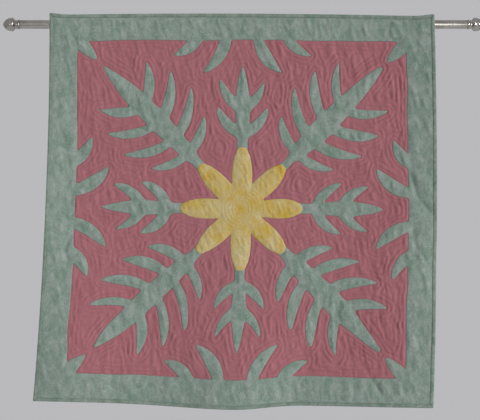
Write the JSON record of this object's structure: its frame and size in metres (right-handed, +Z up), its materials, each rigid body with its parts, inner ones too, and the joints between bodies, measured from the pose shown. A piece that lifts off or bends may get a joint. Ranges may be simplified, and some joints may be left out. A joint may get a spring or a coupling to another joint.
{
  "type": "hawaiian quilt hung on a curtain rod",
  "caption": "Square wall quilt with green leaf shapes laid over an echo-quilted pink field, hung by a back sleeve on a metal rod with turned finials.",
  "frame": {"origin": "on the rod's axis, at the middle of the quilt's width", "axes": "+X along the rod to the viewer's right, +Y towards the wall behind, +Z up"},
  "size_m": [1.226, 0.0494, 1.0073],
  "materials": {
    "field_cloth": "plain quilting cotton, matt",
    "leaf_cloth": "mottled hand-dyed cotton, matt",
    "flower_cloth": "mottled hand-dyed cotton, matt",
    "binding_cloth": "mottled hand-dyed cotton, matt",
    "rod_metal": "satin pewter"
  },
  "bodies": {
    "root": {"quilt_panel": "field_cloth", "border_cloth": "leaf_cloth", "leaf_cloth": "leaf_cloth", "flower_cloth": "flower_cloth", "binding_top": "binding_cloth", "binding_left": "binding_cloth", "binding_bottom": "binding_cloth", "binding_right": "binding_cloth", "hanging_sleeve": "binding_cloth", "rod": "rod_metal", "finial_left": "rod_metal", "finial_right": "rod_metal"}
  },
  "joints": []
}
